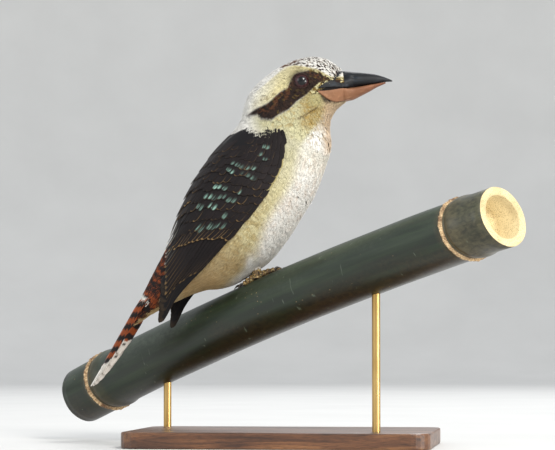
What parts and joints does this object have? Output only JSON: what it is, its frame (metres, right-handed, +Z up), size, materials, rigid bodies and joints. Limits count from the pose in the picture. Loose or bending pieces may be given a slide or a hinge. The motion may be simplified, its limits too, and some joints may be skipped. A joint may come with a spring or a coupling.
{
  "type": "laughing kookaburra model on a bamboo perch",
  "caption": "Life-size laughing kookaburra gripping a cut length of bamboo, facing right, held by a flat base with two short rods.",
  "frame": {"origin": "middle of the stand's underside, which rests on the floor", "axes": "+X the way the bird faces, +Y to the bird's left, +Z up"},
  "size_m": [0.4928, 0.3399, 0.3888],
  "materials": {
    "pale_plumage": "soft matt feathers, white to cream-buff, with dark brown mask and crown streaks",
    "wing_brown": "smooth satin feathers, dark purplish brown with pale blue-green spots and buff edges",
    "tail_rufous": "satin feathers barred rufous and black, with white edges and tips",
    "bill_black": "smooth blue-black horn",
    "bill_horn": "smooth orange-pink horn, darker at the root",
    "eye_brown": "wet dark brown",
    "foot_scales": "scaly yellow-brown skin with dark claws",
    "bamboo_green": "waxy green culm with a grey bloom and brown sheath scars",
    "stand_wood": "oiled dark hardwood",
    "stand_brass": "brushed brass"
  },
  "bodies": {
    "root": {"head": "pale_plumage", "neck": "pale_plumage", "torso": "pale_plumage", "leg_right": "pale_plumage", "leg_left": "pale_plumage", "wing_right": "wing_brown", "wing_left": "wing_brown", "tail": "tail_rufous", "bill_upper": "bill_black", "bill_lower": "bill_horn", "eye_right": "eye_brown", "eye_left": "eye_brown", "foot_right": "foot_scales", "foot_left": "foot_scales", "perch_culm": "bamboo_green", "stand_base": "stand_wood", "stand_rod_low": "stand_brass", "stand_rod_high": "stand_brass"}
  },
  "joints": []
}
